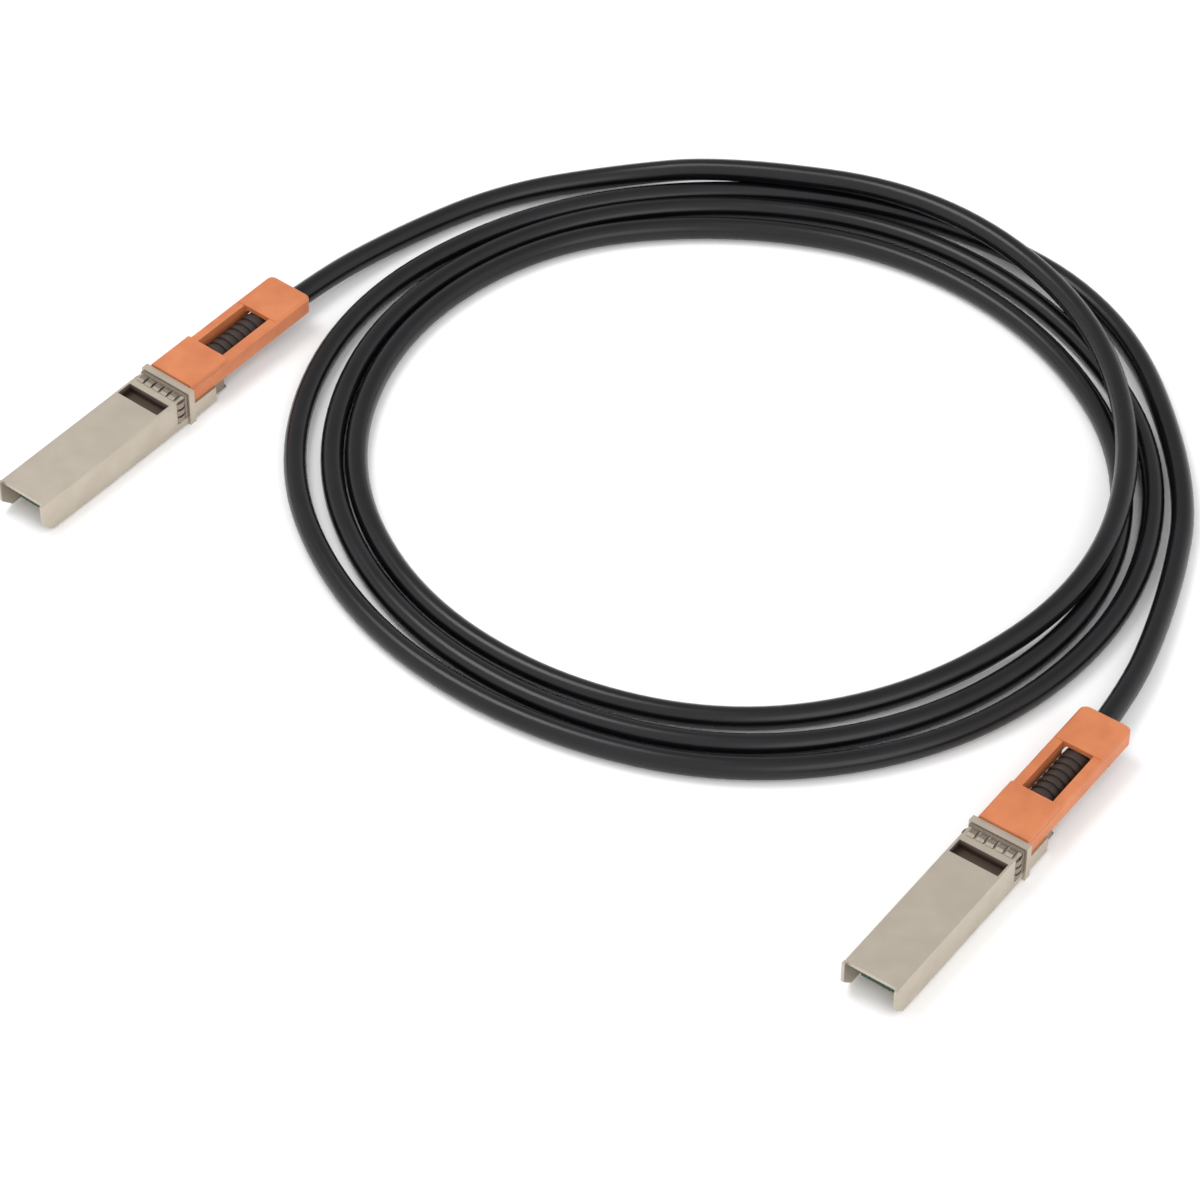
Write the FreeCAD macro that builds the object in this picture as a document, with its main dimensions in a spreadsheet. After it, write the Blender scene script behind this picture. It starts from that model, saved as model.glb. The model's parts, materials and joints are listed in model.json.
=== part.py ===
import FreeCAD, Part
import math
import os
import re
import Sketcher

# Direct attach copper cable: two small-form-factor pluggable plugs on one twinax cable.
#
# Each plug is drawn in its own frame: X runs rearwards from the mating end, Y across the
# width, and Z up from the underside of the nose. Both plugs lie flat on Z = 0 of the part's
# frame, turned by the same heading, either side of the origin, with the coil beyond them.

SIZES = {
    # cable
    "cable_diameter": 5.2,
    "coil_outer_radius": 100.8,
    "coil_band": 21.3,
    "coil_centre_x": 39.2,
    "coil_centre_y": 53.5,
    "coil_edge_bevel": 1.4,
    "crossing_sink": 0.2,
    "straight_exit": 40.0,
    # where the plugs lie: headings, and how far each middle is inside the coil's radius
    "heading_a": 51.0,
    "heading_b": 53.8,
    "plug_inset_x": 10.48,
    "plug_inset_y": 31.41,
    # nose of the plug, as the cage takes it
    "plug_width": 13.4,
    "plug_height": 8.5,
    "nose_length": 47.5,
    "side_wall": 0.7,
    "roof_wall": 0.9,
    "floor_wall": 1.2,
    "prong_length": 1.0,
    "socket_length": 10.4,
    "skirt_bevel": 3.0,
    "crimp_block": 11.5,
    "edge_round": 0.35,
    # stop flange and the narrower rear body that the pull tab slides on
    "flange_length": 1.8,
    "flange_side_proud": 0.5,
    "flange_top_proud": 0.4,
    "foot_depth": 0.45,
    "rear_length": 7.5,
    "rail_width": 10.4,
    # slot across the roof, in front of the ground-spring collar (reaches run from the flange)
    "window_reach": 9.3,
    "window_length": 4.0,
    "window_depth": 2.4,
    # ground-spring collar
    "collar_reach": 3.6,
    "collar_thickness": 0.2,
    "collar_leg_bottom": 1.9,
    "collar_band": 0.8,
    "finger_rise": 0.4,
    "roof_finger_width": 1.7,
    "roof_finger_pitch": 2.35,
    "side_finger_width": 1.3,
    "side_finger_pitch": 2.0,
    # paddle card
    "card_underside": 2.25,
    "card_thickness": 1.0,
    "card_width": 9.2,
    "card_setback": 4.2,
    "card_rear_room": 8.8,
    "card_ledge_front": 11.4,
    "card_ledge_length": 12.0,
    "card_post_width": 0.8,
    "contact_pitch": 0.8,
    "contact_width": 0.5,
    "contact_length": 4.4,
    "contact_setback": 0.5,
    "contact_thickness": 0.06,
    "chip_length": 3.0,
    "chip_width": 2.0,
    "chip_height": 0.8,
    "chip_reach": 5.0,
    # conductors, their potting and the crimp
    "pair_width": 2.4,
    "pair_height": 1.7,
    "pair_overlap": 6.2,
    "pair_clearance": 0.15,
    "potting_lead": 1.0,
    "potting_rear_room": 3.0,
    "potting_width": 8.0,
    "potting_height": 2.9,
    "cable_entry": 2.0,
    "ferrule_wall": 0.35,
    "ferrule_length": 8.4,
    "bore_clearance": 0.1,
    "jacket_clearance": 0.05,
    # strain relief
    "relief_length": 20.5,
    "relief_radius": 3.5,
    "relief_clearance": 0.3,
    "relief_tip_bevel": 0.6,
    # latch: boss on the nose, channel, and the stamped slider in it
    "channel_reach": 9.0,
    "channel_width": 6.3,
    "channel_depth": 0.65,
    "boss_reach": 5.1,
    "boss_length": 2.6,
    "boss_width": 2.6,
    "slider_thickness": 0.5,
    "slider_clearance": 0.05,
    "slider_side_clearance": 0.2,
    "tine_reach": 7.1,
    "tine_boss_gap": 0.35,
    "tine_ramp": 0.3,
    "yoke_gap": 0.4,
    "yoke_length": 4.4,
    "ear_inset": 1.0,
    "ear_thickness": 0.5,
    "ear_setback": 0.8,
    "ear_length": 3.0,
    "ear_height": 5.6,
    "ear_clearance": 0.05,
    "latch_travel": 2.5,
    # pull tab
    "tab_gap": 0.2,
    "tab_running_gap": 0.1,
    "tab_wall": 0.9,
    "tab_roof": 0.9,
    "saddle_length": 12.2,
    "heel_gap": 0.3,
    "arm_length": 16.8,
    "arm_thickness": 2.4,
    "arm_height": 4.0,
    "grip_length": 12.0,
    "grip_height": 4.2,
    "grip_channel_width": 8.6,
    "grip_channel_gap": 0.4,
    "grip_channel_corner": 1.6,
    "grip_corner": 1.7,
    "grip_edge_bevel": 0.6,
    "tab_corner": 0.8,
    # return spring of the pull tab, in a pocket of the roof
    "pocket_gap": 0.8,
    "pocket_depth": 0.7,
    "pocket_width": 3.2,
    "pocket_rear_wall": 1.4,
    "lug_length": 1.0,
    "lug_clearance": 0.1,
    "spring_strip": 0.2,
    # pins that hold the shells together
    "pin_setback": 1.2,
    "pin_across": 4.9,
    "pin_radius": 0.8,
    "pin_length": 5.8,
    "pin_clearance": 0.05,
}

ROOF_FINGERS = 5
SIDE_FINGERS = 3
CONTACTS_PER_SIDE = 10
SPRING_LEGS = 5
TAIL_SIDES = 16
RIDER_SIDES = 8

# Free stretches of the cable on the surface, by the coil's clock: hour, and distance from the
# coil's centre as a share of its outer radius.
TAIL_A_POINTS = [(10.74, 1.043), (11.42, 1.001), (12.11, 0.985)]
TAIL_B_POINTS = [(3.81, 1.055), (3.16, 1.015), (2.54, 0.981)]

# The turn that rides over the others: hour, share of the outer radius, and how far it is raised.
CROSSING_TURN = [(0.8, 0.957, 0.8), (1.9, 0.903, 1.0), (3.0, 0.868, 1.0), (4.1, 0.853, 0.8),
                 (5.2, 0.843, 0.0)]

doc = FreeCAD.newDocument("DirectAttachCable")
sheet = doc.addObject("Spreadsheet::Sheet", "Sizes")
for row, (alias, number) in enumerate(SIZES.items(), start=1):
    sheet.set(f"A{row}", alias)
    sheet.set(f"B{row}", str(number))
    sheet.setAlias(f"B{row}", alias)
doc.recompute()


def linked(expression):
    """The expression with each size's name pointed at the spreadsheet."""
    return re.sub(r"[a-z_]+[a-z]", lambda m: f"Sizes.{m[0]}" if m[0] in SIZES else m[0], expression)


def value(expression):
    """The expression's present value in millimetres or degrees."""
    return float(sheet.evalExpression(linked(expression)))


def bind(obj, prop, expression):
    obj.setExpression(prop, linked(expression))


# ---------------------------------------------------------------- sketches and features

def new_body(node):
    body = doc.addObject("PartDesign::Body", node)
    body.Label = node
    return body


def new_sketch(body, role, offset):
    """A sketch on one of the body's origin planes, moved along the plane's normal."""
    plane = [p for p in body.Origin.OriginFeatures if p.Role == role][0]
    sketch = body.newObject("Sketcher::SketchObject", "Sketch")
    sketch.AttachmentSupport = [(plane, "")]
    sketch.MapMode = "FlatFace"
    bind(sketch, "AttachmentOffset.Base.z", offset)
    return sketch


def pin_point(sketch, geometry, end, x, y):
    """Hold a vertex or centre at x and y, both measured from the sketch's origin."""
    for kind, expression in (("DistanceX", x), ("DistanceY", y)):
        index = sketch.addConstraint(
            Sketcher.Constraint(kind, -1, 1, geometry, end, value(expression)))
        bind(sketch, f"Constraints[{index}]", expression)


def draw_polygon(sketch, corners):
    """A closed outline whose corners are pairs of expressions."""
    spots = [FreeCAD.Vector(value(x), value(y), 0) for x, y in corners]
    first = sketch.GeometryCount
    for i, spot in enumerate(spots):
        sketch.addGeometry(Part.LineSegment(spot, spots[(i + 1) % len(spots)]), False)
    for i, (x, y) in enumerate(corners):
        after = first + (i - 1) % len(corners)
        sketch.addConstraint(Sketcher.Constraint("Coincident", after, 2, first + i, 1))
        pin_point(sketch, first + i, 1, x, y)


def draw_rectangle(sketch, x0, x1, y0, y1):
    draw_polygon(sketch, [(x0, y0), (x1, y0), (x1, y1), (x0, y1)])


def draw_circle(sketch, x, y, radius):
    centre = FreeCAD.Vector(value(x), value(y), 0)
    circle = Part.Circle(centre, FreeCAD.Vector(0, 0, 1), value(radius))
    geometry = sketch.addGeometry(circle, False)
    pin_point(sketch, geometry, 3, x, y)
    index = sketch.addConstraint(Sketcher.Constraint("Radius", geometry, value(radius)))
    bind(sketch, f"Constraints[{index}]", radius)


def pad(body, sketch, length):
    feature = body.newObject("PartDesign::Pad", "Pad")
    feature.Profile = sketch
    bind(feature, "Length", length)
    sketch.Visibility = False
    return feature


def pocket(body, sketch, length, backwards=False):
    """Cut against the sketch's normal, or along it when backwards is set."""
    feature = body.newObject("PartDesign::Pocket", "Pocket")
    feature.Profile = sketch
    feature.Reversed = backwards
    bind(feature, "Length", length)
    return feature


def add_block(body, x0, x1, y0, y1, z0, z1):
    sketch = new_sketch(body, "XY_Plane", z0)
    draw_rectangle(sketch, x0, x1, y0, y1)
    return pad(body, sketch, f"({z1}) - ({z0})")


def cut_block(body, x0, x1, y0, y1, z0, z1):
    sketch = new_sketch(body, "XY_Plane", z1)
    draw_rectangle(sketch, x0, x1, y0, y1)
    return pocket(body, sketch, f"({z1}) - ({z0})")


def each_side(inner, outer):
    """The two y ranges that lie between inner and outer, left and right of the middle."""
    return [(inner, outer), (f"-({outer})", f"-({inner})")]


def draw_hexagon(sketch, corner):
    """A hexagon about the cable's axis with a flat side uppermost."""
    draw_polygon(sketch, [(f"{corner} * cos({60 * i})", f"{CABLE_AXIS} + {corner} * sin({60 * i})")
                          for i in range(6)])


def cut_bore(body, x0, x1, corner):
    """Six-sided seat along the cable's axis."""
    sketch = new_sketch(body, "YZ_Plane", x1)
    draw_hexagon(sketch, corner)
    return pocket(body, sketch, f"({x1}) - ({x0})")


def repeat(body, feature, role, length, count):
    """Repeat a feature along one of the body's origin axes, over the given length."""
    axis = [a for a in body.Origin.OriginFeatures if a.Role == role][0]
    pattern = body.newObject("PartDesign::LinearPattern", "Pattern")
    pattern.Originals = [feature]
    pattern.Direction = (axis, [""])
    pattern.Occurrences = count
    bind(pattern, "Length", length)
    body.Tip = pattern
    return pattern


def edge_names(shape, wanted):
    return [f"Edge{i}" for i, edge in enumerate(shape.Edges, start=1) if wanted(edge)]


def dress(body, kind, size_name, wanted):
    """Fillet or chamfer the body's present edges that pass the test."""
    doc.recompute()
    base, names = body.Tip, edge_names(body.Shape, wanted)
    feature = body.newObject(f"PartDesign::{kind}", kind)
    feature.Base = (base, names)
    bind(feature, "Radius" if kind == "Fillet" else "Size", size_name)
    body.Tip = feature
    return feature


def runs_along(edge, axis):
    """True for a straight edge along the given axis: 0, 1 or 2 for X, Y or Z."""
    if edge.Curve.TypeId != "Part::GeomLine":
        return False
    direction = edge.Curve.Direction
    return abs(abs(direction[axis]) - 1) < 1e-6


def lies_at(edge, axis, spot):
    return all(abs(v.Point[axis] - spot) < 1e-4 for v in edge.Vertexes)


# ---------------------------------------------------------------- shared places on a plug

CABLE_AXIS = "plug_height / 2"
SPLIT = CABLE_AXIS
HALF_WIDTH = "plug_width / 2"
INNER_HALF = f"({HALF_WIDTH} - side_wall)"
CAVITY_REAR = "(nose_length - crimp_block)"
WINDOW_FRONT = "(nose_length - window_reach)"
COLLAR_FRONT = "(nose_length - collar_reach)"
COLLAR_REAR = "(nose_length - 0.1)"
CHANNEL_FRONT = "(nose_length - channel_reach)"
BOSS_FRONT = "(nose_length - boss_reach)"
TINE_FRONT = "(nose_length - tine_reach)"
PIN_ALONG = f"({CAVITY_REAR} + pin_setback)"
FLANGE_REAR = "(nose_length + flange_length)"
FLANGE_HALF = f"({HALF_WIDTH} + flange_side_proud)"
FLANGE_TOP = "(plug_height + flange_top_proud)"
HOUSING_REAR = f"({FLANGE_REAR} + rear_length)"
RAIL_HALF = "(rail_width / 2)"
CARD_TOP = "(card_underside + card_thickness)"
CARD_REAR = f"({CAVITY_REAR} - card_rear_room)"
PAIR_FRONT = f"({CARD_REAR} - pair_overlap)"
CHIP_FRONT = f"({PAIR_FRONT} - chip_reach)"
POTTING_FRONT = f"({PAIR_FRONT} + potting_lead)"
POTTING_REAR = f"({CAVITY_REAR} - potting_rear_room)"
FERRULE_INNER = "(cable_diameter / 2 + jacket_clearance)"
FERRULE_OUTER = f"({FERRULE_INNER} + ferrule_wall)"
FERRULE_FRONT = f"({HOUSING_REAR} - bore_clearance - ferrule_length)"
BORE_CORNER = f"(({FERRULE_OUTER} + bore_clearance) / cos(30))"
BORE_FRONT = f"({FERRULE_FRONT} - bore_clearance)"
CABLE_START = f"({HOUSING_REAR} - cable_entry)"
PAIR_HALF_SPAN = "(pair_width + pair_clearance)"
CHANNEL_HALF = "(channel_width / 2)"
SLIDER_TOP = "(channel_depth - slider_clearance)"
SLIDER_BOTTOM = f"({SLIDER_TOP} - slider_thickness)"
YOKE_FRONT = f"({HOUSING_REAR} + yoke_gap)"
YOKE_REAR = f"({YOKE_FRONT} + yoke_length)"
TAB_INNER = f"({RAIL_HALF} + tab_running_gap)"
TAB_OUTER = f"({TAB_INNER} + tab_wall)"
TAB_BOTTOM = f"({SPLIT} + tab_running_gap)"
TAB_FRONT = f"({FLANGE_REAR} + tab_gap)"
SADDLE_REAR = f"({TAB_FRONT} + saddle_length)"
SADDLE_UNDER = "(plug_height + tab_running_gap)"
SADDLE_TOP = f"({SADDLE_UNDER} + tab_roof)"
HEEL_FRONT = f"({HOUSING_REAR} + heel_gap)"
HEEL_HALF = "(relief_radius + relief_clearance)"
GRIP_FRONT = f"({SADDLE_REAR} + arm_length)"
GRIP_REAR = f"({GRIP_FRONT} + grip_length)"
GRIP_TOP = f"({TAB_BOTTOM} + grip_height)"
GRIP_UNDER = f"({CABLE_AXIS} + cable_diameter / 2 + grip_channel_gap)"
EAR_FRONT = f"({YOKE_FRONT} + ear_setback)"
EAR_REAR = f"({EAR_FRONT} + ear_length)"
EAR_OUTER = f"({TAB_OUTER} - ear_inset)"
EAR_INNER = f"({EAR_OUTER} - ear_thickness)"
EAR_TOP = f"({SLIDER_TOP} + ear_height)"
POCKET_FRONT = f"({FLANGE_REAR} + pocket_gap)"
POCKET_REAR = f"({HOUSING_REAR} - pocket_rear_wall)"
POCKET_FLOOR = "(plug_height - pocket_depth)"
LUG_FRONT = f"({POCKET_FRONT} + lug_clearance)"
LUG_REAR = f"({LUG_FRONT} + lug_length)"


# ---------------------------------------------------------------- die-cast housing and cover

def collar_seat(body, z0, z1):
    """Shallow seat in both side walls for the ground-spring collar's legs."""
    for y0, y1 in each_side(f"{HALF_WIDTH} - collar_thickness", f"{HALF_WIDTH} + 1"):
        cut_block(body, COLLAR_FRONT, "nose_length", y0, y1, z0, z1)


def housing(node):
    """Lower shell: socket skirt, card ledges, latch channel with its boss, half the bore."""
    body = new_body(node)
    add_block(body, "0", "nose_length", f"-{HALF_WIDTH}", HALF_WIDTH, "0", SPLIT)
    add_block(body, "nose_length", FLANGE_REAR, f"-{FLANGE_HALF}", FLANGE_HALF, "-foot_depth", SPLIT)
    add_block(body, FLANGE_REAR, HOUSING_REAR, f"-{HALF_WIDTH}", HALF_WIDTH, "0", SPLIT)
    cut_block(body, "-1", CAVITY_REAR, f"-{INNER_HALF}", INNER_HALF, "floor_wall", SPLIT)
    cut_block(body, "-1", "socket_length", f"-{INNER_HALF}", INNER_HALF, "-1", "floor_wall + 1")
    for y0, y1 in each_side(INNER_HALF, HALF_WIDTH):
        add_block(body, "0", "prong_length", y0, y1, SPLIT, "plug_height")
    lead_in(body)
    ledge_rear = "card_ledge_front + card_ledge_length"
    for y0, y1 in each_side("card_width / 2 - 1", INNER_HALF):
        add_block(body, "card_ledge_front", ledge_rear, y0, y1, "floor_wall", "card_underside")
    cut_block(body, CHANNEL_FRONT, f"{HOUSING_REAR} + 1", f"-{CHANNEL_HALF}", CHANNEL_HALF,
              "-foot_depth - 1", "channel_depth")
    add_block(body, BOSS_FRONT, f"{BOSS_FRONT} + boss_length", "-boss_width / 2", "boss_width / 2",
              "-foot_depth", "channel_depth")
    cut_block(body, CAVITY_REAR, BORE_FRONT, f"-{PAIR_HALF_SPAN}", PAIR_HALF_SPAN,
              f"{SPLIT} - pair_height / 2 - pair_clearance", SPLIT)
    cut_bore(body, BORE_FRONT, HOUSING_REAR, BORE_CORNER)
    collar_seat(body, "collar_leg_bottom", SPLIT)
    pin_holes(body, "0", SPLIT)
    half, bottom = value(HALF_WIDTH), 0.0
    dress(body, "Fillet", "edge_round", lambda e: runs_along(e, 0) and lies_at(e, 2, bottom)
          and abs(abs(e.CenterOfMass.y) - half) < 1e-4)
    front = value(BOSS_FRONT)
    dress(body, "Chamfer", "foot_depth / 2", lambda e: runs_along(e, 1) and lies_at(e, 0, front)
          and lies_at(e, 2, -value("foot_depth")))
    return body


def lead_in(body):
    """Bevel under the front of the skirt, which guides the nose into its cage."""
    sketch = new_sketch(body, "XZ_Plane", f"-{HALF_WIDTH} - 1")
    draw_polygon(sketch, [("-1", "-1"), ("skirt_bevel + 1", "-1"), ("-1", "skirt_bevel + 1")])
    pocket(body, sketch, "plug_width + 2", backwards=True)


def cover(node):
    """Upper shell: roof with its slot and spring pocket, hold-down posts, half the bore."""
    body = new_body(node)
    add_block(body, "prong_length", "nose_length", f"-{HALF_WIDTH}", HALF_WIDTH, SPLIT, "plug_height")
    add_block(body, "nose_length", FLANGE_REAR, f"-{FLANGE_HALF}", FLANGE_HALF, SPLIT, FLANGE_TOP)
    add_block(body, FLANGE_REAR, HOUSING_REAR, f"-{RAIL_HALF}", RAIL_HALF, SPLIT, "plug_height")
    cut_block(body, "prong_length - 1", CAVITY_REAR, f"-{INNER_HALF}", INNER_HALF,
              SPLIT, "plug_height - roof_wall")
    post_outer = "card_width / 2 - 0.1"
    for y0, y1 in each_side(f"{post_outer} - card_post_width", post_outer):
        add_block(body, "card_ledge_front", "card_ledge_front + 2", y0, y1, CARD_TOP,
                  "plug_height - roof_wall")
    cut_block(body, WINDOW_FRONT, f"{WINDOW_FRONT} + window_length", f"-{INNER_HALF}",
              INNER_HALF, "plug_height - window_depth", "plug_height")
    cut_block(body, POCKET_FRONT, POCKET_REAR, "-pocket_width / 2", "pocket_width / 2",
              POCKET_FLOOR, "plug_height")
    cut_block(body, CAVITY_REAR, BORE_FRONT, f"-{PAIR_HALF_SPAN}", PAIR_HALF_SPAN,
              SPLIT, f"{SPLIT} + pair_height / 2 + pair_clearance")
    cut_bore(body, BORE_FRONT, HOUSING_REAR, BORE_CORNER)
    cut_block(body, COLLAR_FRONT, "nose_length", f"-{HALF_WIDTH}", HALF_WIDTH,
              "plug_height - collar_thickness", "plug_height")
    collar_seat(body, SPLIT, "plug_height")
    pin_holes(body, SPLIT, "pin_length + pin_clearance")
    half, top = value(HALF_WIDTH), value("plug_height")
    dress(body, "Fillet", "edge_round", lambda e: runs_along(e, 0) and lies_at(e, 2, top)
          and abs(abs(e.CenterOfMass.y) - half) < 1e-4)
    return body


def pin_holes(body, z0, z1):
    """A hole each side of the latch channel."""
    for y in ("pin_across", "-pin_across"):
        sketch = new_sketch(body, "XY_Plane", z1)
        draw_circle(sketch, PIN_ALONG, y, "pin_radius + pin_clearance")
        pocket(body, sketch, f"({z1}) - ({z0})")


def shell_pins(node):
    """Two pins driven up from the underside through both shells."""
    body = new_body(node)
    for y in ("pin_across", "-pin_across"):
        sketch = new_sketch(body, "XY_Plane", "0")
        draw_circle(sketch, PIN_ALONG, y, "pin_radius")
        pad(body, sketch, "pin_length")
    return body


# ---------------------------------------------------------------- what the shells hold

def box(x0, x1, y0, y1, z0, z1):
    """A plain block as a primitive, bound to the sheet."""
    solid = doc.addObject("Part::Box", "Block")
    for side, low, high, base in (("Length", x0, x1, "x"), ("Width", y0, y1, "y"),
                                  ("Height", z0, z1, "z")):
        bind(solid, side, f"({high}) - ({low})")
        bind(solid, f"Placement.Base.{base}", low)
    return solid


def fuse(node, pieces):
    joined = doc.addObject("Part::MultiFuse", node)
    joined.Label = node
    joined.Shapes = pieces
    return joined


def paddle_card(node):
    body = new_body(node)
    add_block(body, "card_setback", CARD_REAR, "-card_width / 2", "card_width / 2",
              "card_underside", CARD_TOP)
    return body


def card_contacts(node):
    """Ten gold pads on each face of the card's mating edge."""
    pads = []
    front = "card_setback + contact_setback"
    for z0, z1 in ((CARD_TOP, f"{CARD_TOP} + contact_thickness"),
                   ("card_underside - contact_thickness", "card_underside")):
        for i in range(CONTACTS_PER_SIDE):
            middle = f"({i} - {CONTACTS_PER_SIDE - 1} / 2) * contact_pitch"
            pads.append(box(front, f"{front} + contact_length", f"{middle} - contact_width / 2",
                            f"{middle} + contact_width / 2", z0, z1))
    return fuse(node, pads)


def memory_chip(node):
    """The identification memory, on the card's upper face."""
    body = new_body(node)
    add_block(body, CHIP_FRONT, f"{CHIP_FRONT} + chip_length", "-chip_width / 2", "chip_width / 2",
              CARD_TOP, f"{CARD_TOP} + chip_height")
    return body


def twinax_pairs(node):
    """The two shielded pairs, side by side from the card to the end of the jacket."""
    body = new_body(node)
    for sign in ("", "-"):
        sketch = new_sketch(body, "YZ_Plane", PAIR_FRONT)
        inner, outer = "pair_clearance / 2", "(pair_width + pair_clearance / 2)"
        low, high = f"{CABLE_AXIS} - pair_height / 2", f"{CABLE_AXIS} + pair_height / 2"
        edges = sorted((f"{sign}({inner})", f"{sign}({outer})"), key=value)
        draw_rectangle(sketch, edges[0], edges[1], low, high)
        pad(body, sketch, f"{CABLE_START} - {PAIR_FRONT}")
    body.AllowCompound = True
    dress(body, "Chamfer", "pair_height * 0.25", lambda e: runs_along(e, 0))
    return body


def wire_potting(node):
    """Potting over the soldered ends: a bridge on the card, open underneath for the pairs."""
    body = new_body(node)
    add_block(body, POTTING_FRONT, POTTING_REAR, "-potting_width / 2", "potting_width / 2",
              CARD_TOP, f"{CARD_TOP} + potting_height")
    cut_block(body, POTTING_FRONT, POTTING_REAR, f"-{PAIR_HALF_SPAN}", PAIR_HALF_SPAN,
              CARD_TOP, f"{CABLE_AXIS} + pair_height / 2 + pair_clearance / 2")
    return body


def crimp_ferrule(node):
    """Tube crimped to a hexagon on the jacket."""
    body = new_body(node)
    sketch = new_sketch(body, "YZ_Plane", FERRULE_FRONT)
    draw_hexagon(sketch, f"({FERRULE_OUTER} / cos(30))")
    draw_circle(sketch, "0", CABLE_AXIS, FERRULE_INNER)
    pad(body, sketch, "ferrule_length")
    return body


def strain_relief(node):
    """Sleeve with a bevelled tip, turned about the cable's axis."""
    body = new_body(node)
    sketch = new_sketch(body, "XZ_Plane", "0")
    skin, bore = f"({CABLE_AXIS} + relief_radius)", f"({CABLE_AXIS} + {FERRULE_INNER})"
    tip = f"({HOUSING_REAR} + relief_length)"
    outline = [(HOUSING_REAR, bore), (HOUSING_REAR, skin), (f"({tip} - relief_tip_bevel)", skin),
               (tip, f"({skin} - relief_tip_bevel)"), (tip, bore)]
    draw_polygon(sketch, outline)
    axis = sketch.addGeometry(Part.LineSegment(
        FreeCAD.Vector(0, value(CABLE_AXIS), 0), FreeCAD.Vector(value("relief_length"), value(CABLE_AXIS), 0)), True)
    pin_point(sketch, axis, 1, "0", CABLE_AXIS)
    pin_point(sketch, axis, 2, "relief_length", CABLE_AXIS)
    turned = body.newObject("PartDesign::Revolution", "Turned")
    turned.Profile = sketch
    turned.ReferenceAxis = (sketch, ["Axis0"])
    turned.Angle = 360
    return body


# ---------------------------------------------------------------- springs and latch

def ground_collar(node):
    """Stamped ground spring: a U band behind rows of bowed fingers on the roof and sides."""
    body = new_body(node)
    band_front = f"({COLLAR_REAR} - collar_band)"
    seat, skin = f"({HALF_WIDTH} - collar_thickness)", HALF_WIDTH
    roof_low, roof_high = "(plug_height - collar_thickness)", "plug_height"
    add_block(body, band_front, COLLAR_REAR, f"-{skin}", skin, roof_low, roof_high)
    for y0, y1 in each_side(seat, skin):
        add_block(body, band_front, COLLAR_REAR, y0, y1, "collar_leg_bottom", roof_low)

    def bow(low, high):
        """Side view of one finger between its seat level and its skin level."""
        crest_a = f"({COLLAR_FRONT} + ({band_front} - {COLLAR_FRONT}) * 0.65)"
        crest_b = f"({COLLAR_FRONT} + ({band_front} - {COLLAR_FRONT}) * 0.3)"
        return [(band_front, low), (band_front, high), (crest_a, f"{high} + finger_rise"),
                (crest_b, f"{high} + finger_rise"), (f"{COLLAR_FRONT} + 0.1", high),
                (f"{COLLAR_FRONT} + 0.1", low), (crest_b, f"{low} + finger_rise"),
                (crest_a, f"{low} + finger_rise")]

    span = f"({ROOF_FINGERS - 1} * roof_finger_pitch)"
    sketch = new_sketch(body, "XZ_Plane", f"{span} / 2 - roof_finger_width / 2")
    draw_polygon(sketch, bow(roof_low, roof_high))
    finger = pad(body, sketch, "roof_finger_width")
    repeat(body, finger, "Y_Axis", span, ROOF_FINGERS)
    height = f"({SIDE_FINGERS - 1} * side_finger_pitch)"
    start = f"(collar_leg_bottom + {roof_low}) / 2 - {height} / 2 - side_finger_width / 2"
    sketch = new_sketch(body, "XY_Plane", start)
    draw_polygon(sketch, bow(seat, skin))
    finger = pad(body, sketch, "side_finger_width")
    repeat(body, finger, "Z_Axis", height, SIDE_FINGERS)
    for i in range(SIDE_FINGERS):
        sketch = new_sketch(body, "XY_Plane", f"{start} + {i} * side_finger_pitch")
        draw_polygon(sketch, [(x, f"-({y})") for x, y in bow(seat, skin)])
        pad(body, sketch, "side_finger_width")
    return body


def latch_slider(node):
    """Stamped fork beside the boss, with a yoke whose ears turn up into the pull tab."""
    body = new_body(node)
    fork_half = f"({CHANNEL_HALF} - slider_side_clearance)"
    add_block(body, "nose_length", YOKE_REAR, f"-{fork_half}", fork_half, SLIDER_BOTTOM, SLIDER_TOP)
    for y0, y1 in each_side("boss_width / 2 + tine_boss_gap", fork_half):
        add_block(body, TINE_FRONT, "nose_length", y0, y1, SLIDER_BOTTOM, SLIDER_TOP)
    for y0, y1 in each_side(fork_half, EAR_OUTER):
        add_block(body, YOKE_FRONT, YOKE_REAR, y0, y1, SLIDER_BOTTOM, SLIDER_TOP)
    for y0, y1 in each_side(EAR_INNER, EAR_OUTER):
        add_block(body, EAR_FRONT, EAR_REAR, y0, y1, SLIDER_TOP, EAR_TOP)
    tip, under = value(TINE_FRONT), value(SLIDER_BOTTOM)
    dress(body, "Chamfer", "tine_ramp", lambda e: runs_along(e, 1) and lies_at(e, 0, tip)
          and lies_at(e, 2, under))
    return body


def return_spring(node):
    """Folded strip between the pull tab's lug and the rear wall of the roof's pocket."""
    low, high = f"{POCKET_FLOOR} + 0.05", "plug_height - 0.1"
    half = "(pocket_width / 2 - 0.25)"
    span = f"({POCKET_REAR} - {LUG_REAR} - spring_strip)"
    pieces = []
    for i in range(SPRING_LEGS):
        start = f"({LUG_REAR} + {span} * {i} / {SPRING_LEGS - 1})"
        pieces.append(box(start, f"{start} + spring_strip", f"-{half}", half, low, high))
        if i == SPRING_LEGS - 1:
            break
        end = f"({LUG_REAR} + {span} * {i + 1} / {SPRING_LEGS - 1} + spring_strip)"
        edges = (f"{half} - spring_strip", half) if i % 2 else (f"-{half}", f"-{half} + spring_strip")
        pieces.append(box(start, end, edges[0], edges[1], low, high))
    return fuse(node, pieces)


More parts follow.
